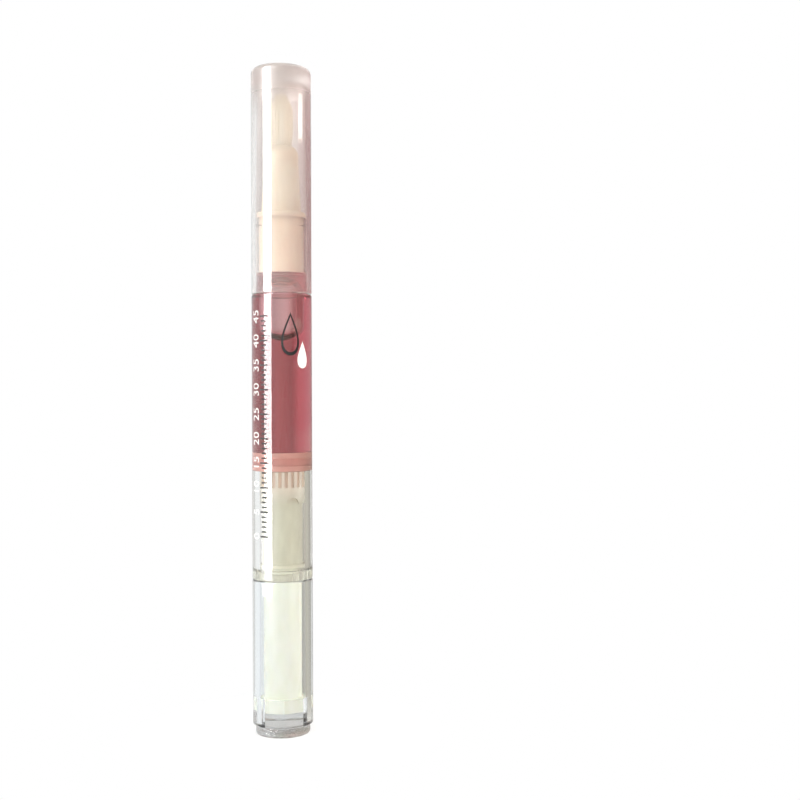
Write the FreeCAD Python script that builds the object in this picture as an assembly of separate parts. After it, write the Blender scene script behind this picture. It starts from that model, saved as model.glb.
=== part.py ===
# Nail oil pen: a clear twist pen that stands upright on its tail, with its cap on.
# Millimetres. The origin is the centre of the flat base, and +Z runs along the pen to the cap.
# The pen is full and closed: the piston is at its lowest place and the knob is at its first turn.

import FreeCAD, Part
import math
import os

# Clearances between pieces that fit each other
press_clearance = 0.02
seal_clearance = 0.03
turn_clearance = 0.05
key_clearance = 0.08
thread_clearance = 0.1
cap_clearance = 0.05
face_gap = 0.1
overrun = 0.5

# Outside of the pen
outer_radius = 5.6
rim_round = 0.25

# Tail plug
plug_flange_step = 0.55
plug_flange_height = 1.8
plug_flange_round = 0.4
plug_boss_height = 2.6
plug_dimple_radius = 1.5
plug_dimple_depth = 0.5

# Tail knob
knob_height = 26.9
knob_wall = 1.35
socket_step = 0.05
socket_sides = 8
corner_heading = 8.5

# Drive sleeve inside the knob
foot_height = 2.5
core_gap = 0.69
core_round = 0.3
drive_wall = 0.77
drive_key_length = 5.0
drive_barb_rise = 3.2
drive_barb_height = 0.8
drive_barb_size = 0.2

# Ratchet ring and its teeth
click_ring_height = 1.1
pawl_thickness = 0.25
pawl_gap = 0.15
pawl_hook_size = 0.15
pawl_root_angle = 24.0
pawl_sweep_angle = 110.0
pawl_hook_angle = 9.0
pawl_count = 2
ratchet_wall = 1.3
ratchet_tooth_depth = 0.3
ratchet_teeth = 24

# Guide nut
ring_height = 1.8
nut_collar_height = 1.1
nut_length = 18.2
nut_sleeve_gap = 0.43
nut_wall = 0.85
nut_thread_length = 5.4
nut_band_height = 2.9
nut_rib_height = 2.9
nut_rib_depth = 0.35
nut_rib_width = 0.5
nut_ribs = 24
nut_notch_radius = 1.1
nut_notches = 6

# Barrel
barrel_length = 51.1
barrel_wall = 1.4
neck_length = 14.2
neck_wall = 0.42
neck_land_height = 2.2
neck_bead_drop = 1.4
neck_bead_radius = 0.35

# Screw rod
rod_thread_depth = 0.4
rod_flat_depth = 0.15
rod_floor_gap = 0.6
rod_neck_depth = 0.65
rod_head_lip = 0.4
rod_head_height = 1.0
thread_lead = 1.4
thread_crest_width = 0.4
thread_root_width = 0.9
thread_sink = 0.1

# Piston
piston_height = 3.4
piston_waist_depth = 0.3
piston_lip_height = 0.9
piston_top_cup_depth = 2.0
piston_foot_cup_depth = 0.8
piston_lip_wall = 0.5
piston_boss_wall = 0.55
piston_boss_drop = 0.4
piston_web = 1.2

# Cap
cap_wall = 0.8
cap_tip_gap = 1.7
cap_end_thickness = 3.1
cap_draft = 0.35
cap_end_round = 1.0
cap_top_round = 1.2
cap_gate_radius = 0.7
cap_gate_depth = 0.6

# Nozzle
nozzle_skirt_length = 10.2
nozzle_flange_height = 1.0
nozzle_body_height = 9.9
nozzle_nose_height = 2.5
nozzle_lip = 0.4
nozzle_nose_depth = 0.8
nozzle_taper = 0.5
nozzle_well_wall = 0.88
nozzle_well_depth = 3.8
nozzle_well_cone = 2.0
tuft_seat_rise = 3.7

# Brush
tuft_bore_radius = 2.0
tuft_collar_wall = 0.38
tuft_flare = 0.3
tuft_tip_depth = 1.3
tuft_free_length = 9.9
tuft_dome_height = 2.4
tuft_flare_height = 0.9
tuft_collar_height = 1.8
feed_tube_radius = 0.5
feed_tube_bore = 0.3
feed_tube_dip = 2.2
feed_tube_reach = 0.6

# Shapes of the two rounded ends of the brush, as shares of the stretch that they round
nose_bulge_share = 0.72
tuft_dome_share = 0.6

# Heights along the pen, from the base up
shell_z = plug_flange_height
plug_top_z = shell_z + plug_boss_height
foot_top_z = plug_top_z + foot_height
shell_top_z = shell_z + knob_height
ring_z = shell_top_z + face_gap
barrel_z = ring_z + ring_height
nut_top_z = barrel_z + nut_length
nut_shelf_z = nut_top_z - nut_thread_length
piston_z = nut_top_z + face_gap
piston_top_z = piston_z + piston_height
shoulder_z = barrel_z + barrel_length
neck_top_z = shoulder_z + neck_length
nozzle_z = neck_top_z - nozzle_skirt_length
nozzle_body_z = neck_top_z + nozzle_flange_height
nozzle_shoulder_z = nozzle_body_z + nozzle_body_height
nozzle_mouth_z = nozzle_shoulder_z + nozzle_nose_height
tuft_seat_z = nozzle_body_z + tuft_seat_rise
tuft_tip_z = nozzle_mouth_z + tuft_free_length
feed_top_z = nozzle_mouth_z + feed_tube_reach
cap_z = shoulder_z + face_gap
cap_end_z = tuft_tip_z + cap_tip_gap
cap_top_z = cap_end_z + cap_end_thickness
rod_z = plug_top_z + rod_floor_gap
oil_top_z = nozzle_z - press_clearance

# Radii from the outside in: barrel, neck and cap
barrel_bore_radius = outer_radius - barrel_wall
barrel_fit_radius = barrel_bore_radius - press_clearance
neck_radius = barrel_bore_radius + neck_wall
cap_bore_radius = outer_radius - cap_wall
neck_land_radius = cap_bore_radius - cap_clearance
cap_end_bore_radius = cap_bore_radius - cap_draft
nozzle_well_radius = barrel_fit_radius - nozzle_well_wall

# Radii from the outside in: knob and drive
plug_flange_radius = outer_radius - plug_flange_step
knob_bore_radius = outer_radius - knob_wall
socket_apothem = knob_bore_radius - socket_step
core_radius = knob_bore_radius - core_gap
nut_sleeve_radius = barrel_fit_radius - nut_sleeve_gap
nut_bore_radius = nut_sleeve_radius - nut_wall
drive_neck_radius = nut_bore_radius - turn_clearance
rod_bore_radius = drive_neck_radius - drive_wall
rod_crest_radius = rod_bore_radius - key_clearance
rod_root_radius = rod_crest_radius - rod_thread_depth
rod_half_flat = rod_root_radius - rod_flat_depth
rod_neck_radius = rod_root_radius - rod_neck_depth
rod_head_radius = rod_neck_radius + rod_head_lip
piston_boss_radius = rod_head_radius + thread_clearance + piston_boss_wall
ratchet_root_radius = outer_radius - ratchet_wall
ratchet_pocket_depth = click_ring_height + 3 * face_gap

# Radii from the inside out: brush and nozzle
tuft_root_radius = tuft_bore_radius - tuft_collar_wall - 2 * press_clearance
tuft_radius = tuft_bore_radius + tuft_flare
tuft_tip_radius = tuft_radius - tuft_tip_depth
nozzle_mouth_radius = tuft_bore_radius + nozzle_lip
nozzle_shoulder_radius = nozzle_mouth_radius + nozzle_nose_depth
nozzle_base_radius = nozzle_shoulder_radius + nozzle_taper

# Travel of the piston, in whole turns of the knob
full_turns = math.floor((oil_top_z - piston_top_z) / thread_lead)
piston_travel = full_turns * thread_lead


def at(z):
    return FreeCAD.Vector(0, 0, z)


def on_circle(radius, angle, z):
    return FreeCAD.Vector(radius * math.cos(angle), radius * math.sin(angle), z)


def disc(radius, z_low, z_high):
    """A solid cylinder on the pen's axis between two heights."""
    return Part.makeCylinder(radius, z_high - z_low, at(z_low))


def cone(low_radius, high_radius, z_low, z_high):
    """A solid cone frustum on the pen's axis between two heights."""
    return Part.makeCone(low_radius, high_radius, z_high - z_low, at(z_low))


def tube(radius, bore, z_low, z_high):
    """A tube on the pen's axis, cut clean through."""
    return disc(radius, z_low, z_high).cut(disc(bore, z_low - overrun, z_high + overrun))


def prism(apothem, sides, z_low, z_high):
    """A regular prism given by its apothem, with one corner turned a little past -Y."""
    corner = apothem / math.cos(math.pi / sides)
    start = math.radians(corner_heading) - math.pi / 2
    points = [on_circle(corner, start + 2 * math.pi * i / sides, z_low) for i in range(sides)]
    face = Part.Face(Part.makePolygon(points + points[:1]))
    return face.extrude(at(z_high - z_low))


def round_rims(shape, radius, heights, reach):
    """Round the circular edges that lie at the given heights with at least the given radius."""
    def wanted(edge):
        box = edge.BoundBox
        flat = box.ZLength < face_gap and box.XLength >= 2 * reach - face_gap
        return flat and any(abs(box.ZMin - z) < face_gap / 2 for z in heights)

    return shape.makeFillet(radius, [edge for edge in shape.Edges if wanted(edge)])


def turned(points):
    """A solid turned about the pen's axis from a list of (radius, height) points."""
    corners = [FreeCAD.Vector(r, 0, z) for r, z in points]
    face = Part.Face(Part.makePolygon(corners + corners[:1]))
    return face.revolve(at(0), at(1), 360)


def thread_ridge(z_low, length, root, crest, root_width, crest_width):
    """A helical ridge of trapezoid section that winds up from z_low."""
    inner = root - thread_sink
    section = [
        (inner, -root_width / 2), (crest, -crest_width / 2),
        (crest, crest_width / 2), (inner, root_width / 2),
    ]
    corners = [FreeCAD.Vector(r, 0, z) for r, z in section]
    profile = Part.makePolygon(corners + corners[:1])
    spine = Part.Wire(Part.makeLongHelix(thread_lead, length, root))
    ridge = spine.makePipeShell([profile], True, True)
    ridge.translate(at(z_low))
    return ridge


def single(shape):
    """The one solid of a boolean result."""
    solids = shape.Solids
    if len(solids) != 1:
        raise ValueError("expected one solid, found %d" % len(solids))
    return solids[0]


def end_plug():
    """Clear tail plug: a flange that the pen stands on, and an eight-sided boss."""
    flange = disc(plug_flange_radius, 0, plug_flange_height)
    flange = round_rims(flange, plug_flange_round, [0], plug_flange_radius)
    boss = prism(socket_apothem - press_clearance, socket_sides, shell_z, plug_top_z)
    dimple = disc(plug_dimple_radius, -overrun, plug_dimple_depth)
    return single(flange.fuse(boss).cut(dimple))


def tail_shell():
    """Clear knob: a round bore above an eight-sided socket for the foot and the plug."""
    shell = disc(outer_radius, shell_z, shell_top_z)
    shell = round_rims(shell, rim_round, [shell_z, shell_top_z], outer_radius)
    bore = disc(knob_bore_radius, foot_top_z, shell_top_z + overrun)
    socket = prism(socket_apothem, socket_sides, shell_z - overrun, foot_top_z)
    return single(shell.cut(bore).cut(socket))


def drive_sleeve():
    """White core: turns with the knob and turns the rod through two flats at its upper end."""
    top_z = nut_shelf_z - 3 * face_gap
    key_z = top_z - drive_key_length
    barb_z = barrel_z + drive_barb_rise
    foot = prism(socket_apothem - press_clearance, socket_sides, plug_top_z, foot_top_z)
    core = disc(core_radius, foot_top_z, shell_top_z)
    core = round_rims(core, core_round, [shell_top_z], core_radius)
    collar = prism(drive_neck_radius, socket_sides, shell_top_z, shell_top_z + click_ring_height)
    neck = disc(drive_neck_radius, shell_top_z, top_z)
    barb = cone(
        drive_neck_radius + drive_barb_size, drive_neck_radius, barb_z, barb_z + drive_barb_height
    )
    body = foot.fuse([core, collar, neck, barb])
    body = body.cut(disc(rod_bore_radius, plug_top_z - overrun, key_z))
    keyway = disc(rod_bore_radius, key_z - overrun, top_z + overrun)
    half_flat = rod_half_flat + key_clearance
    slot = Part.makeBox(
        2 * half_flat, 4 * rod_bore_radius, drive_key_length + 2 * overrun,
        FreeCAD.Vector(-half_flat, -2 * rod_bore_radius, key_z - overrun),
    )
    return single(body.cut(keyway.common(slot)))


def click_ring():
    """Ratchet ring on the drive sleeve: a hub with spring pawls that end in small hooks."""
    z_low, z_high = shell_top_z, shell_top_z + click_ring_height
    bore_apothem = drive_neck_radius + press_clearance
    hook_radius = ratchet_root_radius - ratchet_tooth_depth - turn_clearance
    arm_outer = hook_radius - pawl_hook_size
    arm_inner = arm_outer - pawl_thickness
    hub_radius = arm_inner - pawl_gap
    ring = disc(hub_radius, z_low, z_high)
    for i in range(pawl_count):
        start = 360.0 * i / pawl_count
        arm = tube(arm_outer, arm_inner, z_low, z_high)
        arm = arm.common(sector(start, pawl_sweep_angle, z_low, z_high))
        root = tube(arm_outer, hub_radius - pawl_gap, z_low, z_high)
        root = root.common(sector(start, pawl_root_angle, z_low, z_high))
        hook = hook_prism(
            start + pawl_sweep_angle, pawl_hook_angle, arm_inner, arm_outer, hook_radius, z_low, z_high
        )
        ring = ring.fuse([arm, root, hook])
    return single(ring.cut(prism(bore_apothem, socket_sides, z_low - overrun, z_high + overrun)))


def sector(start, sweep, z_low, z_high):
    """A wide wedge of the space round the axis, from one angle over a sweep in degrees."""
    wedge = Part.makeCylinder(2 * outer_radius, z_high - z_low, at(z_low), at(1), sweep)
    wedge.rotate(at(0), at(1), start)
    return wedge


def hook_prism(end, width, inner, outer, tip, z_low, z_high):
    """The small sawtooth at the end of a pawl."""
    outline = [(inner, end - width), (outer, end - width), (tip, end), (inner, end)]
    corners = [on_circle(radius, math.radians(angle), z_low) for radius, angle in outline]
    return Part.Face(Part.makePolygon(corners + corners[:1])).extrude(at(z_high - z_low))


def ratchet_pocket():
    """The toothed space on the underside of the guide nut's ring."""
    step = 2 * math.pi / ratchet_teeth
    tip_radius = ratchet_root_radius - ratchet_tooth_depth
    corners = []
    for i in range(ratchet_teeth):
        corners.append(on_circle(ratchet_root_radius, i * step, 0))
        corners.append(on_circle(tip_radius, (i + 1) * step, 0))
    pocket = Part.Face(Part.makePolygon(corners + corners[:1])).extrude(at(ratchet_pocket_depth + overrun))
    pocket.translate(at(ring_z - overrun))
    return pocket


def guide_nut():
    """Milky thread insert: joint ring, collar, narrow sleeve, and a ribbed band that grips the bore."""
    collar_top_z = barrel_z + nut_collar_height
    rib_z = nut_top_z - nut_rib_height
    band_z = rib_z - nut_band_height
    ring = disc(outer_radius, ring_z, barrel_z)
    ring = round_rims(ring, rim_round, [ring_z], outer_radius)
    collar = disc(barrel_fit_radius, barrel_z, collar_top_z)
    sleeve = disc(nut_sleeve_radius, collar_top_z, band_z)
    band = disc(barrel_fit_radius, band_z, rib_z)
    top = disc(barrel_fit_radius - nut_rib_depth, rib_z, nut_top_z)
    body = ring.fuse([collar, sleeve, band, top] + nut_ribs_at(rib_z))
    body = body.cut(ratchet_pocket())
    body = body.cut(disc(nut_bore_radius, ring_z - overrun, nut_shelf_z))
    groove_radius = drive_neck_radius + drive_barb_size + key_clearance
    groove_z = barrel_z + drive_barb_rise - face_gap
    body = body.cut(disc(groove_radius, groove_z, groove_z + drive_barb_height + 2 * face_gap))
    body = body.cut(disc(rod_root_radius + thread_clearance, nut_shelf_z - overrun, nut_top_z + overrun))
    return single(body.cut([nut_thread()] + nut_notches_at(band_z)))


def nut_ribs_at(z_low):
    """The narrow ribs round the top of the guide nut."""
    ribs = []
    for i in range(nut_ribs):
        rib = Part.makeBox(
            2 * nut_rib_depth, nut_rib_width, nut_top_z - z_low,
            FreeCAD.Vector(barrel_fit_radius - 2 * nut_rib_depth, -nut_rib_width / 2, z_low),
        )
        rib.rotate(at(0), at(1), 360.0 * (i + 1 / 2) / nut_ribs)
        ribs.append(rib.common(disc(barrel_fit_radius, z_low, nut_top_z)))
    return ribs


def nut_notches_at(z):
    """The scallops in the lower edge of the guide nut's band."""
    notches = []
    for i in range(nut_notches):
        angle = 2 * math.pi * (i + 1 / 2) / nut_notches - math.pi / 2
        notches.append(Part.makeCylinder(
            nut_notch_radius, outer_radius, on_circle(nut_sleeve_radius, angle, z), on_circle(1, angle, 0)
        ))
    return notches


def thread_start_z():
    """Where the rod's thread starts: both threads are wound from here, so they mesh."""
    return rod_z + thread_root_width / 2


def nut_thread():
    """The groove that the rod's thread runs in, in step with the rod at rest."""
    turns_below = math.floor((nut_shelf_z - thread_start_z()) / thread_lead) - 1
    turns = math.ceil(nut_thread_length / thread_lead) + 3
    return thread_ridge(
        thread_start_z() + turns_below * thread_lead, turns * thread_lead,
        rod_root_radius + thread_clearance, rod_crest_radius + thread_clearance,
        thread_root_width + 2 * thread_clearance, thread_crest_width + 2 * thread_clearance,
    )


def screw_rod():
    """Threaded rod with two flats, and a headed tip that the piston snaps onto."""
    thread_length = nut_top_z - thread_start_z() - thread_root_width / 2
    core = disc(rod_root_radius, rod_z, nut_top_z)
    ridge = thread_ridge(
        thread_start_z(), thread_length, rod_root_radius, rod_crest_radius,
        thread_root_width, thread_crest_width,
    )
    flats = Part.makeBox(
        2 * rod_half_flat, 4 * rod_crest_radius, nut_top_z - rod_z,
        FreeCAD.Vector(-rod_half_flat, -2 * rod_crest_radius, rod_z),
    )
    head_z = piston_z + piston_web + face_gap
    neck = disc(rod_neck_radius, nut_top_z, head_z)
    head = disc(rod_head_radius, head_z, head_z + rod_head_height / 2)
    tip = cone(rod_head_radius, rod_neck_radius, head_z + rod_head_height / 2, head_z + rod_head_height)
    return single(core.fuse(ridge).common(flats).fuse([neck, head, tip]))


def piston():
    """Plunger with two sealing lips, cupped at both ends, snapped on the rod's head."""
    lip = barrel_bore_radius - seal_clearance
    waist = lip - piston_waist_depth
    lower_z = piston_z + piston_lip_height
    upper_z = piston_top_z - piston_lip_height
    body = disc(lip, piston_z, lower_z)
    body = body.fuse([
        cone(lip, waist, lower_z, lower_z + piston_waist_depth),
        disc(waist, lower_z + piston_waist_depth, upper_z - piston_waist_depth),
        cone(waist, lip, upper_z - piston_waist_depth, upper_z),
        disc(lip, upper_z, piston_top_z),
    ])
    cup = waist - piston_lip_wall
    cup_floor_z = piston_top_z - piston_top_cup_depth
    body = body.cut([
        tube(cup, piston_boss_radius, cup_floor_z, piston_top_z + overrun),
        disc(cup, piston_top_z - piston_boss_drop, piston_top_z + overrun),
        tube(cup, piston_boss_radius, piston_z - overrun, piston_z + piston_foot_cup_depth),
    ])
    socket_z = piston_z + piston_web
    body = body.cut(disc(rod_neck_radius + thread_clearance, piston_z - overrun, socket_z + overrun))
    socket_top_z = socket_z + rod_head_height + 2 * face_gap
    return single(body.cut(disc(rod_head_radius + thread_clearance, socket_z, socket_top_z)))


def barrel_tube():
    """Clear barrel with one bore from end to end, and a reduced neck that the cap slides over."""
    body = disc(outer_radius, barrel_z, shoulder_z)
    body = round_rims(body, rim_round, [shoulder_z], outer_radius)
    bead_z = neck_top_z - neck_bead_drop
    bead_ring = neck_land_radius - neck_bead_radius
    body = body.fuse([
        disc(neck_radius, barrel_z, neck_top_z),
        disc(neck_land_radius, barrel_z, shoulder_z + neck_land_height),
        Part.makeTorus(bead_ring, neck_bead_radius, at(bead_z)),
    ])
    return single(body.cut(disc(barrel_bore_radius, barrel_z - overrun, neck_top_z + overrun)))


def oil_fill():
    """The oil between the piston and the nozzle."""
    return disc(barrel_bore_radius - press_clearance, piston_top_z, oil_top_z)


def nozzle():
    """Cream brush holder: skirt in the neck, flange on its end, tapered body and rounded nose."""
    skirt = disc(barrel_bore_radius - press_clearance, nozzle_z, neck_top_z)
    flange = disc(neck_radius, neck_top_z, nozzle_body_z)
    flange = round_rims(flange, rim_round, [nozzle_body_z], neck_radius)
    body = cone(nozzle_base_radius, nozzle_shoulder_radius, nozzle_body_z, nozzle_shoulder_z)
    nose = nozzle_nose()
    holder = skirt.fuse([flange, body, nose])
    holder = holder.cut(disc(tuft_bore_radius, tuft_seat_z, nozzle_mouth_z + overrun))
    capillary = feed_tube_radius + press_clearance
    holder = holder.cut(disc(capillary, nozzle_z - overrun, tuft_seat_z + overrun))
    well_top_z = nozzle_z + nozzle_well_depth
    holder = holder.cut(disc(nozzle_well_radius, nozzle_z - overrun, well_top_z))
    well_end = cone(nozzle_well_radius, capillary, well_top_z, well_top_z + nozzle_well_cone)
    return single(holder.cut(well_end))


def nozzle_nose():
    """The rounded nose between the nozzle's shoulder and its mouth."""
    middle = FreeCAD.Vector(
        nozzle_mouth_radius + (nozzle_shoulder_radius - nozzle_mouth_radius) * nose_bulge_share,
        0, nozzle_shoulder_z + nozzle_nose_height * nose_bulge_share,
    )
    low = FreeCAD.Vector(nozzle_shoulder_radius, 0, nozzle_shoulder_z)
    high = FreeCAD.Vector(nozzle_mouth_radius, 0, nozzle_mouth_z)
    edges = [
        Part.LineSegment(at(nozzle_shoulder_z), low).toShape(),
        Part.Arc(low, middle, high).toShape(),
        Part.LineSegment(high, at(nozzle_mouth_z)).toShape(),
        Part.LineSegment(at(nozzle_mouth_z), at(nozzle_shoulder_z)).toShape(),
    ]
    return Part.Face(Part.Wire(edges)).revolve(at(0), at(1), 360)


def feed_tube():
    """Capillary tube that leads the oil through the nozzle into the tuft."""
    return tube(feed_tube_radius, feed_tube_bore, nozzle_z + feed_tube_dip, feed_top_z)


def tuft_collar():
    """Ring that binds the filaments at their root."""
    radius = tuft_bore_radius - press_clearance
    return tube(radius, tuft_root_radius + press_clearance, tuft_seat_z, tuft_seat_z + tuft_collar_height)


def bristle_tuft():
    """Plain form of the brush: bound root, straight shank, and a free end with a blunt dome."""
    collar_top_z = tuft_seat_z + tuft_collar_height + press_clearance
    shank = tuft_bore_radius - press_clearance
    hole = feed_tube_radius + press_clearance
    hole_top_z = feed_top_z + press_clearance
    dome_z = tuft_tip_z - tuft_dome_height
    dome_radius = tuft_tip_radius + (tuft_radius - tuft_tip_radius) * tuft_dome_share
    return turned([
        (hole, tuft_seat_z), (tuft_root_radius, tuft_seat_z), (tuft_root_radius, collar_top_z),
        (shank, collar_top_z), (shank, nozzle_mouth_z), (tuft_radius, nozzle_mouth_z + tuft_flare_height),
        (tuft_radius, dome_z), (dome_radius, dome_z + tuft_dome_height * tuft_dome_share),
        (tuft_tip_radius, tuft_tip_z), (0, tuft_tip_z), (0, hole_top_z), (hole, hole_top_z),
    ])


def cap_shell():
    """Clear slip cap: straight bore over the neck, then a draft to a rounded end with a gate mark."""
    body = disc(outer_radius, cap_z, cap_top_z)
    body = round_rims(body, cap_top_round, [cap_top_z], outer_radius)
    body = round_rims(body, rim_round, [cap_z], outer_radius)
    mouth = disc(cap_bore_radius, cap_z - overrun, nozzle_body_z + face_gap)
    draft = cone(cap_bore_radius, cap_end_bore_radius, nozzle_body_z, cap_end_z)
    draft = round_rims(draft, cap_end_round, [cap_end_z], cap_end_bore_radius)
    gate = cone(cap_gate_radius, cap_gate_radius / 2, cap_end_z, cap_end_z + cap_gate_depth)
    return single(body.cut([mouth, draft, gate]))


PIECES = [
    end_plug, tail_shell, drive_sleeve, click_ring, guide_nut, screw_rod, piston,
    barrel_tube, oil_fill, nozzle, feed_tube, tuft_collar, bristle_tuft, cap_shell,
]

os.makedirs("parts", exist_ok=True)
for make in PIECES:
    solid = make()
    if not solid.isValid():
        raise ValueError(make.__name__ + " is not a valid solid")
    solid.exportStep("parts/" + make.__name__ + ".step")
    print("%-14s %10.3f mm3" % (make.__name__, solid.Volume))
print("piston travel %.3f mm" % piston_travel)
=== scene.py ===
import math
import random

import bpy
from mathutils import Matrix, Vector


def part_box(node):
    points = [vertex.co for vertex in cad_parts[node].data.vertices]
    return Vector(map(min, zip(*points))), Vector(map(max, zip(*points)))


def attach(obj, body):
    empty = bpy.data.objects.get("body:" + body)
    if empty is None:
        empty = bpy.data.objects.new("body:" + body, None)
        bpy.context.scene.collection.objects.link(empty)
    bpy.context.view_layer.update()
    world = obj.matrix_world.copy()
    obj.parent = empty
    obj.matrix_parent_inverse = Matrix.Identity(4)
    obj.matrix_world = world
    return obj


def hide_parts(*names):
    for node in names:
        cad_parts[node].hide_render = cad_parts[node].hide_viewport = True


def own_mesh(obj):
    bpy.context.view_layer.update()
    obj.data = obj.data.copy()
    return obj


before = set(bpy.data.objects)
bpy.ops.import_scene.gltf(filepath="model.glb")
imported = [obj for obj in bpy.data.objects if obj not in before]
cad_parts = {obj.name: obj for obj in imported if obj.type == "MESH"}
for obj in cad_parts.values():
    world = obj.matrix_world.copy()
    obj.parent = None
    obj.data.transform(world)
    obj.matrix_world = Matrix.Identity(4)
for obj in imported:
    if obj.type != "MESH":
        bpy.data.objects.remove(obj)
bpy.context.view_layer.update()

MM = 0.001
FULL_TURN = 2 * math.pi

# The pen's own sizes, in metres. Heights count up from the flat base, as in the frame.
BARREL_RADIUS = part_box("barrel_tube")[1].x
BORE_RADIUS = 4.2 * MM
OIL_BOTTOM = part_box("oil_fill")[0].z
OIL_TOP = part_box("oil_fill")[1].z
CUP_RADIUS = 3.37 * MM
CUP_FLOOR = 50.3 * MM
CUP_BOSS_RADIUS = 2.0 * MM
CUP_BOSS_TOP = 51.9 * MM
WAIST_RADIUS = 3.87 * MM
PISTON_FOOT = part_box("piston")[0].z
CAP_BORE_RADIUS = 4.8 * MM
CAP_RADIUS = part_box("cap_shell")[1].x
CAP_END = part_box("cap_shell")[1].z
CAP_EDGE = 2 * MM
SKIRT_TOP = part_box("barrel_tube")[1].z
FLANGE_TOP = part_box("tail_shell")[0].z
RIB_ROOT = 3.9 * MM
RIB_CREST = 4.05 * MM

# Heights between which a finish changes.
# The cap greys and pinks between these heights: partly the thick plastic's haze, partly painted shade and a
# painted pink reflection.
CAP_DARKENING_START = 110 * MM
CAP_DARKENING_FULL = CAP_END
# Heights over which the nut takes on a painted pink glow from the oil and painted highlights on its rib
# crests.
OIL_GLOW_START = 42.5 * MM
OIL_GLOW_FULL = 47 * MM
NUT_CLEAR_BELOW = 30.7 * MM
NUT_MILKY_ABOVE = 31.3 * MM


class Socket:
    """A node's output. Sums and products of outputs and numbers add Math nodes."""

    def __init__(self, tree, socket):
        self.tree = tree
        self.socket = socket

    def math(self, operation, first, second=0.0):
        return self.tree.add("ShaderNodeMath", {"operation": operation}, {0: first, 1: second})

    def __add__(self, other):
        return self.math("ADD", self, other)

    __radd__ = __add__

    def __sub__(self, other):
        return self.math("SUBTRACT", self, other)

    def __rsub__(self, other):
        return self.math("SUBTRACT", other, self)

    def __mul__(self, other):
        return self.math("MULTIPLY", self, other)

    __rmul__ = __mul__

    def __abs__(self):
        return self.math("ABSOLUTE", self)

    def larger(self, other):
        return self.math("MAXIMUM", self, other)

    def rise(self, start, end):
        """0 up to start, 1 from end on, and a smooth rise between them. Start may lie above end."""
        settings = {"interpolation_type": "SMOOTHSTEP"}
        sockets = {"Value": self, "From Min": start, "From Max": end}
        return self.tree.add("ShaderNodeMapRange", settings, sockets)


class Tree:
    """The nodes of a material or of the world."""

    def __init__(self, owner):
        owner.use_nodes = True
        self.owner = owner
        self.nodes = owner.node_tree.nodes
        self.links = owner.node_tree.links
        self.nodes.clear()

    def add(self, kind, settings=None, sockets=None, out=0):
        """Adds a node, sets it, feeds its sockets with values or links, and returns one of its outputs."""
        node = self.nodes.new(kind)
        for name, value in (settings or {}).items():
            if name == "stops":
                fill_ramp(node.color_ramp.elements, value)
            else:
                setattr(node, name, value)
        for key, value in (sockets or {}).items():
            if isinstance(value, Socket):
                self.links.new(value.socket, node.inputs[key])
            else:
                node.inputs[key].default_value = value
        return Socket(self, node.outputs[out]) if node.outputs else None

    def place(self):
        """The place on the pen, in metres."""
        return self.add("ShaderNodeTexCoord", out="Object")

    def parts(self, vector):
        """The x, y and z of a vector, as three outputs."""
        return [self.add("ShaderNodeSeparateXYZ", None, {0: vector}, out=axis) for axis in range(3)]

    def radius(self, vector):
        """The distance from the upright axis."""
        across, deep, _ = self.parts(vector)
        square = across * across + deep * deep
        return square.math("SQRT", square)

    def noise(self, vector, across, along=None, detail=2.0):
        """Noise whose spots are about across wide and along tall, in metres."""
        scale = (1 / across, 1 / across, 1 / (along or across))
        stretched = self.add("ShaderNodeMapping", None, {"Vector": vector, "Scale": scale})
        sockets = {"Vector": stretched, "Scale": 1.0, "Detail": detail}
        return self.add("ShaderNodeTexNoise", None, sockets)

    def blend(self, factor, first, second):
        """A colour between two."""
        settings = {"data_type": "RGBA"}
        return self.add("ShaderNodeMix", settings, {0: factor, 6: first, 7: second}, out=2)

    def multiply(self, first, second):
        settings = {"data_type": "RGBA", "blend_type": "MULTIPLY"}
        return self.add("ShaderNodeMix", settings, {0: 1.0, 6: first, 7: second}, out=2)

    def bump(self, height, depth):
        """A normal for a height from 0 to 1 that stands for depth metres."""
        return self.add("ShaderNodeBump", None, {"Height": height, "Distance": depth, "Strength": 1.0})

    def principled(self, **sockets):
        named = {key.replace("_", " "): value for key, value in sockets.items()}
        return self.add("ShaderNodeBsdfPrincipled", None, named)

    def mix(self, factor, first, second):
        return self.add("ShaderNodeMixShader", None, {0: factor, 1: first, 2: second})

    def seen_by(self, *rays):
        """1 for rays of these kinds, such as Is Camera Ray."""
        found = [self.add("ShaderNodeLightPath", out=ray) for ray in rays]
        total = found[0]
        for other in found[1:]:
            total = total.larger(other)
        return total

    def surface(self, shader, volume=None):
        sockets = {"Surface": shader}
        if volume:
            sockets["Volume"] = volume
        self.add("ShaderNodeOutputMaterial", None, sockets)
        return self.owner

    def lets_lamps_through(self, shader, tint):
        """The shader, except that shadow rays cross it straight, so that lamps light what is behind it."""
        straight = self.add("ShaderNodeBsdfTransparent", None, {"Color": tint})
        return self.mix(self.seen_by("Is Shadow Ray"), shader, straight)


def fill_ramp(elements, stops):
    """Sets a ramp's colours. Each stop is a place from 0 to 1 and a colour."""
    for count, (place, colour) in enumerate(stops):
        element = elements.new(place) if count >= len(elements) else elements[count]
        element.position = place
        element.color = colour


def tone(red, green, blue):
    """A colour from its 8-bit screen values."""
    def linear(step):
        share = step / 255
        return share / 12.92 if share <= 0.04045 else ((share + 0.055) / 1.055) ** 2.4

    return (linear(red), linear(green), linear(blue), 1.0)


def new_finish(name):
    return Tree(bpy.data.materials.new(name))


# Finishes

HAIRLINE_WIDTH = 0.012


def hairlines(tree, place):
    """Fine scratches: thin lines where a stretched noise crosses its middle, broken up by a coarser one."""
    crossing = tree.noise(place, 1.3 * MM, 9 * MM, detail=1.0) - 0.5
    broken = tree.noise(place, 3.1 * MM, 5.3 * MM).rise(0.52, 0.62)
    return abs(crossing).rise(HAIRLINE_WIDTH, 0.0) * broken


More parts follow.
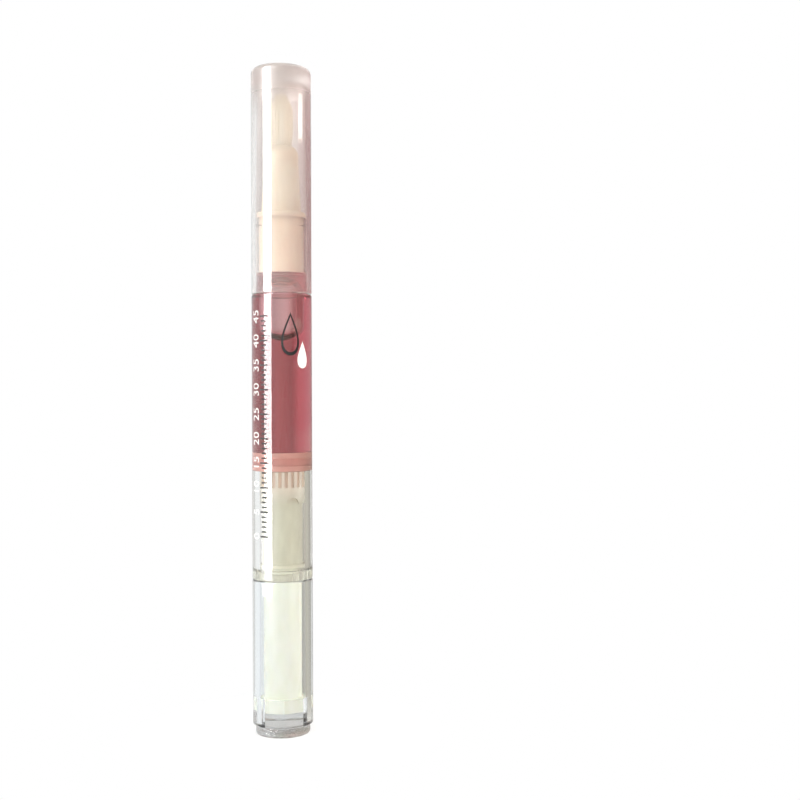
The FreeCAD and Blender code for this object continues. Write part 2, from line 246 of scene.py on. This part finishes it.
def clear_parts(tree, place, tint, haze, clarity, clear_coat=0.0, shadow=0.95):
    """Moulded clear plastic: waves left by the melt as it ran, a little haze, and hairline scratches."""
    flow = tree.noise(place, 2.6 * MM, 16 * MM)
    scratch = hairlines(tree, place)
    streak = tree.blend(flow.rise(0.3, 0.7), (1.0, 1.0, 1.0, 1.0), (0.96, 0.96, 0.96, 1.0))
    shade = tree.multiply(tint, streak)
    plastic = tree.principled(
        Base_Color=shade,
        Roughness=haze + 0.03 * flow + 0.10 * scratch,
        IOR=1.5,
        Transmission_Weight=clarity,
        Coat_Weight=clear_coat,
        Coat_Roughness=0.03,
        Normal=tree.bump(flow - 0.05 * scratch, 0.004 * MM),
    )
    return tree.lets_lamps_through(plastic, (shadow, shadow, shadow, 1.0))


def clear_plastic(name, tint):
    tree = new_finish(name)
    return tree.surface(clear_parts(tree, tree.place(), tint, haze=0.04, clarity=1.0))


def oil():
    """Rose-coloured oil: clear, and coloured by its own depth."""
    tree = new_finish("rose_oil")
    cloud = tree.noise(tree.place(), 1.5 * MM, 4 * MM)
    liquid = tree.principled(
        Base_Color=tree.blend(cloud, (1.0, 0.99, 0.99, 1.0), (0.99, 0.97, 0.97, 1.0)),
        Roughness=0.01 + 0.02 * cloud,
        IOR=1.47,
        Transmission_Weight=1.0,
    )
    depth_colour = tree.add(
        "ShaderNodeVolumeAbsorption", None, {"Color": (0.727, 0.037, 0.137, 1.0), "Density": 300.0},
    )
    return tree.surface(tree.lets_lamps_through(liquid, (1.0, 1.0, 1.0, 1.0)), depth_colour)


def satin_parts(tree, place, pale, deep, roughness, see_through=0.0, softness=0.0, shine=0.3):
    """Opaque or milky moulded plastic: mottled a little, with a fine matt grain."""
    mottle = tree.noise(place, 1.8 * MM, 4.5 * MM)
    grain = tree.noise(place, 0.09 * MM, detail=3.0)
    plastic = tree.principled(
        Base_Color=tree.blend(mottle.rise(0.3, 0.7), pale, deep),
        Roughness=roughness + 0.12 * (grain - 0.5),
        IOR=1.48,
        Specular_IOR_Level=shine,
        Transmission_Weight=see_through,
        Subsurface_Weight=softness,
        Subsurface_Radius=(0.9 * MM, 0.7 * MM, 0.5 * MM),
        Subsurface_Scale=1.0,
        Normal=tree.bump(grain + 0.5 * mottle, 0.003 * MM),
    )
    if not see_through:
        return plastic
    return tree.lets_lamps_through(plastic, (see_through, see_through, 0.95 * see_through, 1.0))


def satin_plastic(name, pale, deep, roughness, **more):
    tree = new_finish(name)
    return tree.surface(satin_parts(tree, tree.place(), pale, deep, roughness, **more))


def cap_plastic():
    """Clear and a little hazy, greyer and pinker towards the closed end: haze with painted shade and pink
    reflection.
    """
    tree = new_finish("cap_plastic")
    place = tree.place()
    height = tree.parts(place)[2]
    climb = height.rise(CAP_DARKENING_START, CAP_DARKENING_FULL)
    end = climb * climb
    outer_wall = tree.radius(place).rise(CAP_BORE_RADIUS, CAP_RADIUS)
    outside = outer_wall.larger(height.rise(CAP_END - CAP_EDGE, CAP_END))
    # The tint towards the closed end is partly the plastic's own tone, partly painted shade and a painted
    # pink reflection.
    tint = tree.blend(end, tone(248, 244, 242), tone(228, 218, 213))
    clear = clear_parts(
        tree, place, tint, haze=0.09 + 0.32 * end, clarity=0.93, clear_coat=1.0, shadow=1.0,
    )
    cloud = tree.noise(place, 2.2 * MM, 0.9 * MM)
    # A grey-pink matt layer over the closed end, mostly on the outside: partly haze, partly painted shade.
    haze_and_painted_shade = tree.principled(
        Base_Color=tree.blend(cloud, tone(206, 196, 191), tone(188, 178, 175)),
        Roughness=0.4 + 0.1 * cloud,
    )
    lit_haze_and_painted_shade = tree.lets_lamps_through(haze_and_painted_shade, (0.9, 0.88, 0.87, 1.0))
    return tree.surface(tree.mix(end * (0.05 + 0.33 * outside), clear, lit_haze_and_painted_shade))


def nozzle_plastic():
    """Cream, and pinker in the skirt that stands in the oil."""
    tree = new_finish("nozzle_plastic")
    place = tree.place()
    skirt = tree.parts(place)[2].rise(SKIRT_TOP + MM, SKIRT_TOP)
    pale = tree.blend(skirt, tone(247, 237, 219), tone(242, 223, 203))
    deep = tree.blend(skirt, tone(242, 228, 207), tone(236, 212, 191))
    return tree.surface(satin_parts(tree, place, pale, deep, 0.38, softness=0.3, shine=0.15))


def nut_plastic():
    """Guide nut: milky, clear in the joint ring; by the oil, painted pink glow between ribs, painted
    highlights on crests.
    """
    tree = new_finish("milky_plastic")
    place = tree.place()
    height = tree.parts(place)[2]
    # Painted light on the ribs next to the oil: the oil's pink glow between them, and painted highlights on
    # their crests.
    crest = tree.radius(place).rise(RIB_ROOT, RIB_CREST)
    painted_oil_glow = height.rise(OIL_GLOW_START, OIL_GLOW_FULL)
    painted_rib_light = tree.blend(crest, tone(242, 220, 205), tone(255, 248, 238))
    pale = tree.blend(painted_oil_glow, tone(238, 237, 224), painted_rib_light)
    deep = tree.blend(painted_oil_glow, tone(227, 226, 212), painted_rib_light)
    milky = satin_parts(tree, place, pale, deep, 0.3, see_through=0.5, shine=0.5)
    clear = clear_parts(tree, place, tone(225, 225, 217), haze=0.2, clarity=0.84)
    return tree.surface(tree.mix(height.rise(NUT_CLEAR_BELOW, NUT_MILKY_ABOVE), clear, milky))


def plug_plastic():
    """The plug: clear, with a coarser grain in the flange and painted shade darkening it."""
    tree = new_finish("plug_plastic")
    place = tree.place()
    thick = tree.parts(place)[2].rise(1.15 * FLANGE_TOP, 0.9 * FLANGE_TOP)
    wrinkle = tree.noise(place, 0.7 * MM, 0.45 * MM)
    flow = tree.noise(place, 1.6 * MM)
    plastic = tree.principled(
        # The flange's darker tone is painted shade; the boss above keeps the lighter tone.
        Base_Color=tree.blend(thick, tone(229, 229, 229), tone(196, 194, 192)),
        Roughness=0.05 + 0.05 * flow,
        IOR=1.5,
        Transmission_Weight=1.0,
        Normal=tree.bump(thick * wrinkle + 0.05 * flow, 0.2 * MM),
    )
    return tree.surface(tree.lets_lamps_through(plastic, (0.9, 0.9, 0.9, 1.0)))


def filament():
    """Pale nylon filaments, a shade darker in places along their length."""
    tree = new_finish("nylon_filament")
    place = tree.place()
    strand = tree.noise(place, 0.16 * MM, 9 * MM)
    length = tree.noise(place, 0.5 * MM, 2.2 * MM)
    nylon = tree.principled(
        Base_Color=tree.blend(strand.rise(0.4, 0.75), tone(252, 248, 238), tone(248, 238, 220)),
        Roughness=0.35 + 0.2 * length,
        IOR=1.52,
        Specular_IOR_Level=0.3,
        Transmission_Weight=0.1,
    )
    return tree.surface(tree.lets_lamps_through(nylon, (1.0, 0.995, 0.985, 1.0)))


def ink(name, pale, worn):
    """Screen-print ink: a dense film with pinholes and a slightly uneven gloss."""
    tree = new_finish(name)
    place = tree.place()
    pinhole = tree.noise(place, 0.12 * MM).rise(0.62, 0.7)
    film = tree.principled(
        Base_Color=tree.blend(pinhole, pale, worn),
        Roughness=0.5 + 0.2 * tree.noise(place, 0.5 * MM),
        Specular_IOR_Level=0.3,
        Normal=tree.bump(1 - pinhole, 0.004 * MM),
    )
    return tree.surface(film)


FINISHES = {
    "cap_shell": cap_plastic(),
    "barrel_tube": clear_plastic("barrel_plastic", tone(250, 249, 247)),
    "tail_shell": clear_plastic("knob_plastic", tone(248, 250, 251)),
    "end_plug": plug_plastic(),
    "nozzle": nozzle_plastic(),
    "tuft_collar": satin_plastic("collar_plastic", tone(240, 228, 205), tone(230, 214, 190), 0.4),
    "feed_tube": satin_plastic(
        "tube_plastic", tone(236, 232, 222), tone(226, 220, 208), 0.2, see_through=0.6,
    ),
    "guide_nut": nut_plastic(),
    "screw_rod": satin_plastic("rod_plastic", tone(226, 224, 208), tone(214, 211, 194), 0.35),
    "click_ring": satin_plastic("ring_plastic", tone(226, 224, 212), tone(214, 211, 198), 0.35),
    "drive_sleeve": satin_plastic(
        "white_plastic", tone(252, 252, 240), tone(247, 248, 232), 0.25, softness=0.2,
    ),
    "piston": satin_plastic(
        "seal_silicone", tone(238, 186, 174), tone(228, 172, 160), 0.3, see_through=0.35,
    ),
}


# Modelling helpers

def start(name, add, **sizes):
    """Adds a primitive and names it. It is alone in the selection, with none of its faces selected."""
    bpy.ops.object.select_all(action="DESELECT")
    add(**sizes)
    piece = bpy.context.object
    piece.name = name
    piece.data.name = name
    bpy.ops.object.mode_set(mode="EDIT")
    bpy.ops.mesh.select_all(action="DESELECT")
    bpy.ops.mesh.select_mode(type="FACE")
    bpy.ops.object.mode_set(mode="OBJECT")
    return piece


def edit(piece):
    """Edit mode on this piece alone."""
    bpy.ops.object.select_all(action="DESELECT")
    piece.select_set(True)
    bpy.context.view_layer.objects.active = piece
    bpy.ops.object.mode_set(mode="EDIT")


def leave():
    bpy.ops.object.mode_set(mode="OBJECT")


def pick_faces(piece, wanted):
    """Selects the faces for which wanted holds, and goes into edit mode."""
    leave()
    for face in piece.data.polygons:
        face.select = wanted(face)
    edit(piece)


def settle(piece):
    """Puts the piece's place into its mesh, so that its object is at the origin."""
    leave()
    bpy.ops.object.select_all(action="DESELECT")
    piece.select_set(True)
    bpy.context.view_layer.objects.active = piece
    bpy.ops.object.transform_apply(location=True, rotation=True, scale=True)
    return piece


def smooth(piece, degrees=40):
    bpy.ops.object.select_all(action="DESELECT")
    piece.select_set(True)
    bpy.context.view_layer.objects.active = piece
    bpy.ops.object.shade_smooth_by_angle(angle=math.radians(degrees))


def joined(pieces, name):
    bpy.ops.object.select_all(action="DESELECT")
    for piece in pieces:
        piece.select_set(True)
    bpy.context.view_layer.objects.active = pieces[0]
    bpy.ops.object.join()
    whole = bpy.context.object
    whole.name = name
    whole.data.name = name
    return whole


# The oil: a column with an air bubble under the neck, a pool in the piston's cup and a film past its lip

SIDES = 96
BUBBLE_RADIUS = 2.9 * MM
BUBBLE_BOTTOM = 73.0 * MM
BUBBLE_TOP = 85.0 * MM
SMALL_BUBBLE_RADIUS = 0.22 * MM
SMALL_BUBBLE_BOTTOM = 79.7 * MM
SMALL_BUBBLE_TOP = 80.1 * MM
SMALL_BUBBLE_CENTRE = (-1.6 * MM, -3.6 * MM)
LEVEL = 1e-9

# The oil reaches this far into the plastic that it wets, so that no thin layer of air shows between them.
WETTED = 0.03 * MM


def bubble(name, radius, bottom, top, centre=(0.0, 0.0)):
    """A closed cavity with a domed top and bottom, its faces turned into the air.

    The halves of a sphere are moved apart, and the vertices at its middle stay where they are.
    """
    middle = (bottom + top) / 2
    cavity = start(
        name, bpy.ops.mesh.primitive_uv_sphere_add, segments=48, ring_count=24, radius=radius,
        location=(centre[0], centre[1], middle),
    )
    stretch = (top - bottom) / 2 - radius
    for vertex in cavity.data.vertices:
        if abs(vertex.co.z) > LEVEL:
            vertex.co.z += math.copysign(stretch, vertex.co.z)
    edit(cavity)
    bpy.ops.mesh.select_all(action="SELECT")
    bpy.ops.mesh.flip_normals()
    return settle(cavity)


def oil_column():
    bottom = OIL_BOTTOM - WETTED
    top = OIL_TOP + 2 * WETTED
    column = start(
        "oil_column", bpy.ops.mesh.primitive_cylinder_add, vertices=SIDES, radius=BORE_RADIUS + WETTED,
        depth=top - bottom, location=(0, 0, (top + bottom) / 2),
    )
    settle(column)
    smooth(column)
    main = bubble("main_bubble", BUBBLE_RADIUS, BUBBLE_BOTTOM, BUBBLE_TOP)
    small = bubble(
        "small_bubble", SMALL_BUBBLE_RADIUS, SMALL_BUBBLE_BOTTOM, SMALL_BUBBLE_TOP, SMALL_BUBBLE_CENTRE,
    )
    for cavity in (main, small):
        smooth(cavity)
    return joined([column, main, small], "oil_column")


def cup_oil():
    """The oil in the piston's cup, round the boss in its middle."""
    floor = CUP_FLOOR - WETTED
    pool = start(
        "cup_oil", bpy.ops.mesh.primitive_cylinder_add, vertices=SIDES, radius=CUP_RADIUS + WETTED,
        depth=OIL_BOTTOM - floor, location=(0, 0, (OIL_BOTTOM + floor) / 2),
    )
    settle(pool)
    pick_faces(pool, lambda face: face.normal.z < -0.5)
    bpy.ops.mesh.inset(thickness=CUP_RADIUS + WETTED - CUP_BOSS_RADIUS)
    bpy.ops.mesh.extrude_region_move(
        TRANSFORM_OT_translate={"value": (0, 0, CUP_BOSS_TOP - WETTED - floor)},
    )
    leave()
    smooth(pool)
    return pool


def lip_film():
    """The oil that has crept past the piston's upper lip: a thin ring between its waist and the bore."""
    film = start(
        "lip_film", bpy.ops.mesh.primitive_cylinder_add, vertices=SIDES, radius=BORE_RADIUS + WETTED,
        depth=OIL_BOTTOM - PISTON_FOOT, location=(0, 0, (OIL_BOTTOM + PISTON_FOOT) / 2),
    )
    settle(film)
    pick_faces(film, lambda face: abs(face.normal.z) > 0.5)
    bpy.ops.mesh.inset(thickness=BORE_RADIUS - WAIST_RADIUS + 2 * WETTED)
    bpy.ops.mesh.bridge_edge_loops()
    leave()
    smooth(film)
    return film


# The brush: nylon filaments rooted in the collar and cut to a blunt dome

FILAMENTS = 540
FILAMENT_RADIUS = 0.075 * MM
FILAMENT_STEPS = 7
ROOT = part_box("bristle_tuft")[0].z
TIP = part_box("bristle_tuft")[1].z
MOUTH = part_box("nozzle")[1].z
COLLAR_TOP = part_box("tuft_collar")[1].z
END_GAP = 0.02 * MM
DOME = 2.4 * MM
DOME_START = 0.45
DOME_CURVE = 1.6
DOME_NARROWING = 0.30
COLLAR_RADIUS = 1.5 * MM
THROAT_RADIUS = 1.9 * MM
TUFT_RADIUS = 2.28 * MM
SPREAD = 1.6 * MM
UNEVEN_CUT = 0.5 * MM
SWAY = 0.10 * MM
TWIST_DEGREES = 7
TIP_TAPER = 0.55


def tuft_radius(height):
    """The tuft's outer radius: narrow in the collar, wider in the throat, widest past the mouth."""
    if height < MOUTH:
        share = min(1.0, max(0.0, (height - COLLAR_TOP) / DOME))
        return COLLAR_RADIUS + (THROAT_RADIUS - COLLAR_RADIUS) * share
    share = min(1.0, (height - MOUTH) / SPREAD)
    return THROAT_RADIUS + (TUFT_RADIUS - THROAT_RADIUS) * share


def filament_blank():
    """One straight filament from the origin up, one unit long, with a five-sided section."""
    blank = start(
        "filament", bpy.ops.mesh.primitive_circle_add, vertices=5, radius=FILAMENT_RADIUS,
        fill_type="NGON",
    )
    pick_faces(blank, lambda face: True)
    for _ in range(FILAMENT_STEPS):
        bpy.ops.mesh.extrude_region_move(TRANSFORM_OT_translate={"value": (0, 0, 1 / FILAMENT_STEPS)})
    bpy.ops.mesh.select_all(action="SELECT")
    bpy.ops.mesh.normals_make_consistent(inside=False)
    leave()
    return blank


def brush():
    """The filaments side by side, each with its own length, sway and twist."""
    draw = random.Random(17)
    blank = filament_blank()
    strands = []
    for _ in range(FILAMENTS):
        share = math.sqrt(draw.random())
        heading = FULL_TURN * draw.random()
        drop = DOME * max(0.0, (share - DOME_START) / (1 - DOME_START)) ** DOME_CURVE
        tip = TIP - drop - UNEVEN_CUT * draw.random() ** 3 - END_GAP
        sway = [SWAY * draw.uniform(-1, 1) for _ in range(2)]
        turn = math.radians(draw.uniform(-TWIST_DEGREES, TWIST_DEGREES))
        strand = blank.copy()
        strand.data = blank.data.copy()
        bpy.context.collection.objects.link(strand)
        for vertex in strand.data.vertices:
            along = vertex.co.z
            height = ROOT + END_GAP + (tip - ROOT) * along
            angle = heading + turn * along
            inner = 1 - DOME_NARROWING * max(0.0, (height - (TIP - DOME)) / DOME) * share
            reach = (tuft_radius(height) - FILAMENT_RADIUS) * share * inner
            thick = 1 - TIP_TAPER * along ** 6
            bend = math.sin(math.pi * along)
            vertex.co.x = vertex.co.x * thick + reach * math.cos(angle) + sway[0] * bend * (1 - share)
            vertex.co.y = vertex.co.y * thick + reach * math.sin(angle) + sway[1] * bend * (1 - share)
            vertex.co.z = height
        strands.append(strand)
    bpy.data.objects.remove(blank)
    tuft = joined(strands, "brush_filaments")
    smooth(tuft, 80)
    return tuft


# The print on the barrel: a scale of plain numbers and ticks, and a pair of drops

PRINT_LIFT = 0.004 * MM
PRINT_DEPTH = 0.008 * MM
PRINT_STRIP = 0.3 * MM
PRINT_WELD = 0.002 * MM
SCALE_BOTTOM = 37 * MM
SCALE_STEP = 0.9 * MM
SCALE_TICKS = 45
NUMBER_EVERY = 5
NUMBER_SIZE = 2.6 * MM
NUMBER_HEADING = math.radians(-52)
TICK_HEADING = math.radians(-31)
TICK_HEIGHT = 0.3 * MM
LONG_TICK = 1.8 * MM
SHORT_TICK = 1.1 * MM
DROP_SIDES = 56
DROP_POINT = 1.4
DROP_FULLNESS = 1.25
TALL_DROP = (3.9 * MM, 8.0 * MM)
TALL_DROP_RIM = 0.45 * MM
TALL_DROP_HEADING = math.radians(22)
TALL_DROP_HEIGHT = 74.2 * MM
SMALL_DROP = (2.6 * MM, 5.0 * MM)
SMALL_DROP_HEADING = math.radians(48)
SMALL_DROP_HEIGHT = 70.4 * MM


def wrapped(piece, heading, height):
    """Cuts a flat print into narrow strips, thickens it and lays it round the barrel."""
    edit(piece)
    reach = max(abs(vertex.co.x) for vertex in piece.data.vertices)
    cut = -PRINT_STRIP * math.ceil(reach / PRINT_STRIP)
    while cut < reach:
        bpy.ops.mesh.select_all(action="SELECT")
        bpy.ops.mesh.bisect(plane_co=(cut, 0, 0), plane_no=(1, 0, 0))
        cut += PRINT_STRIP
    bpy.ops.mesh.select_all(action="SELECT")
    bpy.ops.mesh.remove_doubles(threshold=PRINT_WELD)
    bpy.ops.mesh.select_all(action="SELECT")
    bpy.ops.mesh.extrude_region_move(TRANSFORM_OT_translate={"value": (0, 0, PRINT_DEPTH)})
    bpy.ops.mesh.select_all(action="SELECT")
    bpy.ops.mesh.normals_make_consistent(inside=False)
    leave()
    for vertex in piece.data.vertices:
        angle = heading + vertex.co.x / BARREL_RADIUS
        radius = BARREL_RADIUS + PRINT_LIFT + vertex.co.z
        vertex.co = (radius * math.sin(angle), -radius * math.cos(angle), height + vertex.co.y)
    return piece


def number(text):
    """Figures that read up the pen, as a flat mesh centred on the origin."""
    bpy.ops.object.select_all(action="DESELECT")
    bpy.ops.object.text_add()
    figures = bpy.context.object
    figures.data.body = text
    figures.data.size = NUMBER_SIZE
    figures.data.align_x = "CENTER"
    figures.data.align_y = "CENTER"
    figures.data.resolution_u = 3
    figures.rotation_euler.z = math.pi / 2
    bpy.ops.object.convert(target="MESH")
    return settle(bpy.context.object)


def tick(width):
    mark = start("tick", bpy.ops.mesh.primitive_plane_add, size=1.0)
    mark.scale = (width, TICK_HEIGHT, 1)
    return settle(mark)


def drop_shape(name, width, height, fill):
    """A drop with its point up and its middle at the origin."""
    drop = start(name, bpy.ops.mesh.primitive_circle_add, vertices=DROP_SIDES, radius=1.0, fill_type=fill)
    for vertex in drop.data.vertices:
        angle = math.atan2(vertex.co.x, -vertex.co.y)
        swell = DROP_FULLNESS * math.sin((math.pi - abs(angle)) / 2) ** DROP_POINT
        vertex.co = (width / 2 * math.sin(angle) * swell, -height / 2 * math.cos(angle), 0)
    return drop


def drop_ring(name, width, height, rim):
    """The outline of a drop, as a flat band."""
    drop = drop_shape(name, width, height, "NOTHING")
    edit(drop)
    bpy.ops.mesh.select_all(action="SELECT")
    bpy.ops.mesh.extrude_edges_move()
    bpy.ops.transform.resize(
        value=(1 - 2 * rim / width, 1 - 3 * rim / height, 1), center_override=(0, -rim / 2, 0),
    )
    return settle(drop)


def scale_print():
    """A tick for each step of the scale, longer and with its number at every fifth step."""
    numbers = []
    ticks = []
    for count in range(SCALE_TICKS + 1):
        height = SCALE_BOTTOM + count * SCALE_STEP
        is_numbered = count % NUMBER_EVERY == 0
        width = LONG_TICK if is_numbered else SHORT_TICK
        ticks.append(wrapped(tick(width), TICK_HEADING, height))
        if is_numbered:
            numbers.append(wrapped(number(str(count)), NUMBER_HEADING, height))
    return joined(numbers, "scale_numbers"), joined(ticks, "scale_ticks")


def drops_print():
    ring = drop_ring("tall_drop", *TALL_DROP, TALL_DROP_RIM)
    solid = settle(drop_shape("small_drop", *SMALL_DROP, "NGON"))
    return (
        wrapped(ring, TALL_DROP_HEADING, TALL_DROP_HEIGHT),
        wrapped(solid, SMALL_DROP_HEADING, SMALL_DROP_HEIGHT),
    )


# Putting the pen together

for node, finish in FINISHES.items():
    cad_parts[node].material_slots[0].material = finish


def dress(piece, finish, body):
    """Gives a piece its finish and the body that it moves with."""
    piece.data.materials.clear()
    piece.data.materials.append(finish)
    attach(piece, body)
    return piece


rose_oil = oil()
column = dress(oil_column(), rose_oil, "barrel")
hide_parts("oil_fill")
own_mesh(column)
dress(cup_oil(), rose_oil, "piston")
dress(lip_film(), rose_oil, "piston")

tuft = dress(brush(), filament(), "barrel")
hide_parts("bristle_tuft")

white_ink = ink("white_ink", tone(250, 249, 247), tone(235, 225, 224))
black_ink = ink("black_ink", tone(34, 33, 34), tone(62, 60, 60))
numbers, ticks = scale_print()
dark_drop, white_drop = drops_print()
dress(numbers, white_ink, "barrel")
dress(white_drop, white_ink, "barrel")
dress(ticks, black_ink, "barrel")
dress(dark_drop, black_ink, "barrel")


# The studio: a white floor and surroundings, soft light, and a tall narrow window to the left

FLOOR_SIZE = 4.0
SHADE = 0.5
SHADE_FULL = 6 * MM
SHADE_END = 30 * MM

# The room's colour by heading from the pen, in degrees: 0 is towards the camera and 90 is to the right.
LEFT_SIDE = (
    (-180, (0.84, 0.84, 0.83)),
    (-171, (0.74, 0.74, 0.74)),
    (-163, (0.58, 0.60, 0.60)),
    (-152, (0.98, 1.00, 1.00)),
    (-122, (0.96, 0.99, 1.00)),
    (-100, (0.78, 0.81, 0.83)),
    (-60, (0.92, 0.95, 0.96)),
    (0, (0.72, 0.73, 0.64)),
)
ROOM_ABOVE = LEFT_SIDE + (
    (35, (0.82, 0.62, 0.56)),
    (90, (0.66, 0.35, 0.33)),
    (115, (0.42, 0.23, 0.23)),
    (152, (0.47, 0.28, 0.28)),
    (163, (0.38, 0.23, 0.23)),
    (171, (0.62, 0.52, 0.50)),
    (180, (0.84, 0.84, 0.83)),
)
ROOM_BELOW = LEFT_SIDE + (
    (35, (0.86, 0.72, 0.66)),
    (90, (0.74, 0.62, 0.55)),
    (115, (0.48, 0.46, 0.40)),
    (135, (0.58, 0.56, 0.48)),
    (152, (0.50, 0.48, 0.42)),
    (163, (0.36, 0.34, 0.30)),
    (171, (0.62, 0.60, 0.56)),
    (180, (0.84, 0.84, 0.83)),
)

# The room fades to its ceiling between these slopes, where 0 is level and 1 is straight up.
CEILING = (0.95, 0.95, 0.95, 1.0)
CEILING_START = 0.3
CEILING_FULL = 0.9


def room_colour(tree, right, away, room):
    """What stands round the pen in the direction of this point, as seen from the pen."""
    heading = right.math("ARCTAN2", right, 0 - away) * (1 / FULL_TURN) + 0.5
    stops = [(degrees / 360 + 0.5, colour + (1.0,)) for degrees, colour in room]
    return tree.add("ShaderNodeValToRGB", {"stops": stops}, {0: heading})


def floor():
    """White paper to the camera, with a soft shade near the pen. Clear plastic shows the room's colours."""
    plane = start("floor", bpy.ops.mesh.primitive_plane_add, size=FLOOR_SIZE)
    settle(plane)
    tree = new_finish("floor_paper")
    place = tree.place()
    across, deep, _ = tree.parts(place)
    near = tree.radius(place).rise(SHADE_END, SHADE_FULL)
    paper_grain = tree.noise(place, 0.8 * MM)
    paper = tree.principled(
        Base_Color=tree.blend(paper_grain, tone(247, 247, 247), tone(250, 250, 250)),
        Roughness=0.9,
        Specular_IOR_Level=0.0,
    )
    room = room_colour(tree, across, deep, ROOM_BELOW)
    white = tree.add("ShaderNodeEmission", None, {"Color": (1, 1, 1, 1), "Strength": 1.0})
    coloured = tree.add("ShaderNodeEmission", None, {"Color": room, "Strength": 1.0})
    seen = tree.mix(tree.seen_by("Is Camera Ray"), coloured, white)
    shown = tree.seen_by("Is Camera Ray", "Is Glossy Ray", "Is Transmission Ray")
    plane.data.materials.append(tree.surface(tree.mix(shown * (1 - SHADE * near), paper, seen)))


def surroundings():
    """White to the camera. Round the pen, a plain room: bright and cool on the left, darker on the right.

    What lies behind clear plastic is lit by the lamps, and not by the room through the plastic.
    """
    world = bpy.data.worlds.new("studio")
    bpy.context.scene.world = world
    tree = Tree(world)
    direction = tree.add("ShaderNodeTexCoord", out="Generated")
    right, away, up = tree.parts(direction)
    walls = room_colour(tree, right, away, ROOM_ABOVE)
    room = tree.blend(up.rise(CEILING_START, CEILING_FULL), walls, CEILING)
    after_matt = tree.add("ShaderNodeLightPath", out="Diffuse Depth").rise(0.0, 1.0)
    through = tree.seen_by("Is Transmission Ray") * after_matt
    room_light = tree.add("ShaderNodeBackground", None, {"Color": room, "Strength": 1 - through})
    white = tree.add("ShaderNodeBackground", None, {"Color": (1, 1, 1, 1), "Strength": 1.0})
    shader = tree.mix(tree.seen_by("Is Camera Ray"), room_light, white)
    tree.add("ShaderNodeOutputWorld", None, {"Surface": shader})


def lamp(name, place, size, power, colour=(1, 1, 1), aim=None):
    """A lamp that faces the pen's axis: at its own height, or at the height aim."""
    data = bpy.data.lights.new(name, "AREA")
    data.shape = "RECTANGLE"
    data.size, data.size_y = size
    data.energy = power
    data.color = colour
    panel = bpy.data.objects.new(name, data)
    bpy.context.collection.objects.link(panel)
    target = Vector((0, 0, place[2] if aim is None else aim))
    panel.location = place
    panel.rotation_euler = (target - Vector(place)).to_track_quat("-Z", "Y").to_euler()
    panel.visible_camera = False
    panel.visible_transmission = False
    return panel


# Each window's heading from the pen in degrees, its width, its height and its brightness.
WINDOWS = {
    "window": (-49.5, 0.090, 0.30, 20.0),
    "low_window": (-72.5, 0.041, 0.034, 7.0),
}
WINDOW_DISTANCE = 0.16
WINDOW_FOOT = MM

# A soft lamp high on the left lights the whole pen, two small ones beside the tail lift its lower half,
# and a strip on the right gives the cap its second streak.
SOFT_KEY_PLACE = (-0.45, -0.55, 0.75)
SOFT_KEY_AIM = 0.06
SOFT_KEY_SIZE = (0.8, 0.8)
SOFT_KEY_POWER = 3.45
SOFT_KEY_COLOUR = (1.0, 0.99, 0.96)
FILLS = {
    "right_fill": ((0.052, -0.012, 0.028), 0.035),
    "left_fill": ((-0.050, -0.030, 0.028), 0.009),
}
FILL_SIZE = (0.052, 0.052)
FILL_COLOUR = (0.96, 1.0, 0.93)
SIDE_STRIP_PLACE = (0.0995, -0.012, 0.137)
SIDE_STRIP_SIZE = (0.036, 0.012)
SIDE_STRIP_POWER = 0.010
SIDE_STRIP_COLOUR = (1.0, 0.88, 0.83)


def lights():
    """The windows and the strip show as streaks on shiny plastic, and give matt plastic no light.

    The fills do the opposite: they light the pen and don't show in it as streaks.
    """
    for name, (degrees, width, height, brightness) in WINDOWS.items():
        heading = math.radians(degrees)
        right = WINDOW_DISTANCE * math.sin(heading)
        away = -WINDOW_DISTANCE * math.cos(heading)
        power = brightness * math.pi * width * height
        window = lamp(name, (right, away, WINDOW_FOOT + height / 2), (width, height), power)
        window.visible_diffuse = False
    lamp("soft_key", SOFT_KEY_PLACE, SOFT_KEY_SIZE, SOFT_KEY_POWER, SOFT_KEY_COLOUR, SOFT_KEY_AIM)
    for name, (place, power) in FILLS.items():
        fill = lamp(name, place, FILL_SIZE, power, FILL_COLOUR)
        fill.visible_glossy = False
    strip = lamp("side_strip", SIDE_STRIP_PLACE, SIDE_STRIP_SIZE, SIDE_STRIP_POWER, SIDE_STRIP_COLOUR)
    strip.visible_diffuse = False


CAMERA_PLACE = (0.0221, -0.225, 0.062)
CAMERA_ROLL = math.radians(0.22)
CAMERA_LENS = 54.05
CAMERA_SENSOR = 36


def camera():
    data = bpy.data.cameras.new("camera")
    data.lens = CAMERA_LENS
    data.sensor_width = CAMERA_SENSOR
    view = bpy.data.objects.new("camera", data)
    bpy.context.collection.objects.link(view)
    view.location = CAMERA_PLACE
    view.rotation_euler = (math.pi / 2, CAMERA_ROLL, 0)
    bpy.context.scene.camera = view


BOUNCES = 32
GLOSSY_BOUNCES = 16

floor()
surroundings()
lights()
camera()
scene = bpy.context.scene
scene.view_settings.view_transform = "Standard"
scene.cycles.max_bounces = BOUNCES
scene.cycles.transmission_bounces = BOUNCES
scene.cycles.glossy_bounces = GLOSSY_BOUNCES
scene.cycles.transparent_max_bounces = BOUNCES
